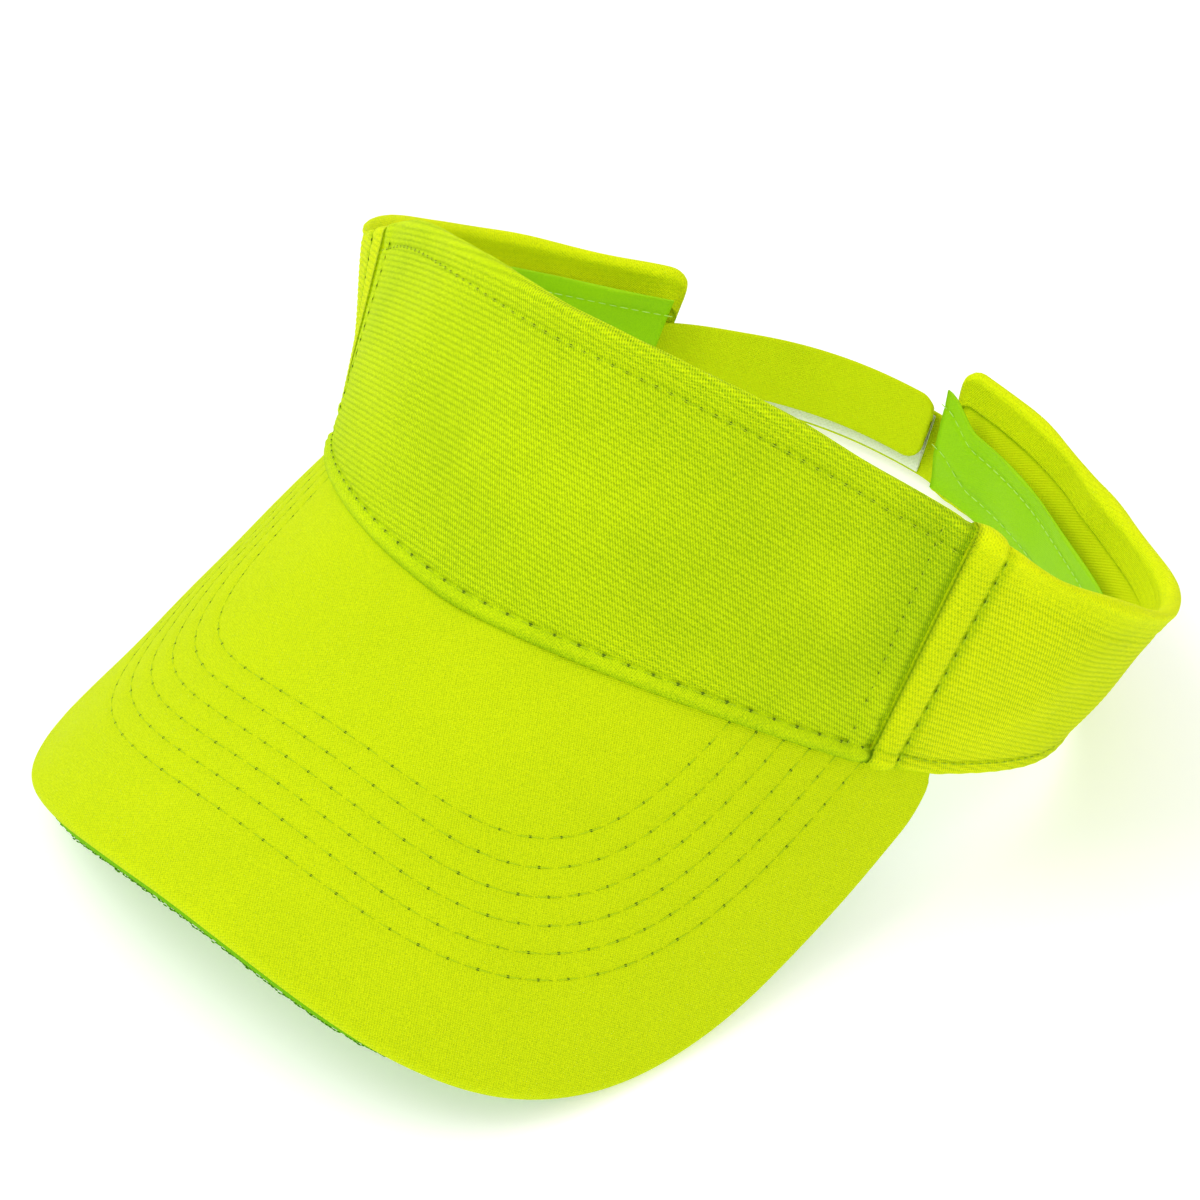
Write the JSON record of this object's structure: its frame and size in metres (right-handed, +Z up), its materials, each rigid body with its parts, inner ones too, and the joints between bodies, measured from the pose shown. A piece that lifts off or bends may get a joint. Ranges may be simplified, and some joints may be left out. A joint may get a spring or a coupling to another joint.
{
  "type": "sun visor",
  "caption": "Sun visor with a stiff curved brim, a ribbed front panel, soft side panels with a sweatband inside, and a hook-and-loop strap closure at the back.",
  "frame": {"origin": "centre of the bounding box, on the surface that the visor stands on", "axes": "+Z up, -Y the way the brim points, +X the wearer's left"},
  "size_m": [0.2108, 0.2504, 0.1136],
  "materials": {
    "front_cloth": "ribbed cotton cloth, matt, stiffened from inside",
    "side_cloth": "ribbed cotton cloth, matt, soft",
    "brim_cloth": "fine twill, matt",
    "under_cloth": "brushed cloth, matt, slightly fuzzy",
    "inner_cloth": "plain lining cloth, matt",
    "sweat_cloth": "smooth tape with a slight sheen",
    "board_plastic": "flexible plastic sheet",
    "buckram": "stiffened open mesh cloth",
    "seam_binding": "woven tape",
    "hook_tape": "hook tape, dull white",
    "loop_tape": "loop tape, fuzzy"
  },
  "bodies": {
    "front": {"brim_top_cover": "brim_cloth", "brim_board": "board_plastic", "brim_under_cover": "under_cloth", "front_shell": "front_cloth", "front_stiffener": "buckram", "front_lining": "inner_cloth", "front_top_hem": "front_cloth", "sweatband_front": "sweat_cloth", "seam_tape_left": "seam_binding", "seam_tape_right": "seam_binding"},
    "left_panel": {"left_side_shell": "side_cloth", "left_side_lining": "inner_cloth", "left_top_hem": "side_cloth", "left_sweatband": "sweat_cloth"},
    "right_panel": {"right_side_shell": "side_cloth", "right_side_lining": "inner_cloth", "right_top_hem": "side_cloth", "right_sweatband": "sweat_cloth"},
    "left_strap": {"left_strap": "side_cloth", "left_hook_tape": "hook_tape"},
    "right_strap": {"right_strap": "side_cloth", "right_loop_tape": "loop_tape"}
  },
  "joints": [
    {"name": "left_panel_open", "type": "hinge", "parent": "front", "child": "left_panel", "pos_m": [0.07725, 0.00209, 0.05611], "axis": [-0.0837, -0.3456, -0.9346], "range_deg": [0, 35]},
    {"name": "right_panel_open", "type": "hinge", "parent": "front", "child": "right_panel", "pos_m": [-0.07782, 0.00447, 0.06256], "axis": [-0.0837, 0.3456, 0.9346], "range_deg": [0, 15.75]},
    {"name": "left_strap_peel", "type": "hinge", "parent": "left_panel", "child": "left_strap", "pos_m": [0.01204, 0.11982, 0.01657], "axis": [0.0076, -0.3119, -0.9501], "range_deg": [0, 70]},
    {"name": "right_strap_fold", "type": "hinge", "parent": "right_panel", "child": "right_strap", "pos_m": [-0.06036, 0.09756, 0.01421], "axis": [-0.0501, -0.3315, -0.9421], "range_deg": [0, 45]}
  ],
  "couplings": [
    {"joint": "right_panel_open", "follows": "left_panel_open", "ratio": 0.45}
  ]
}
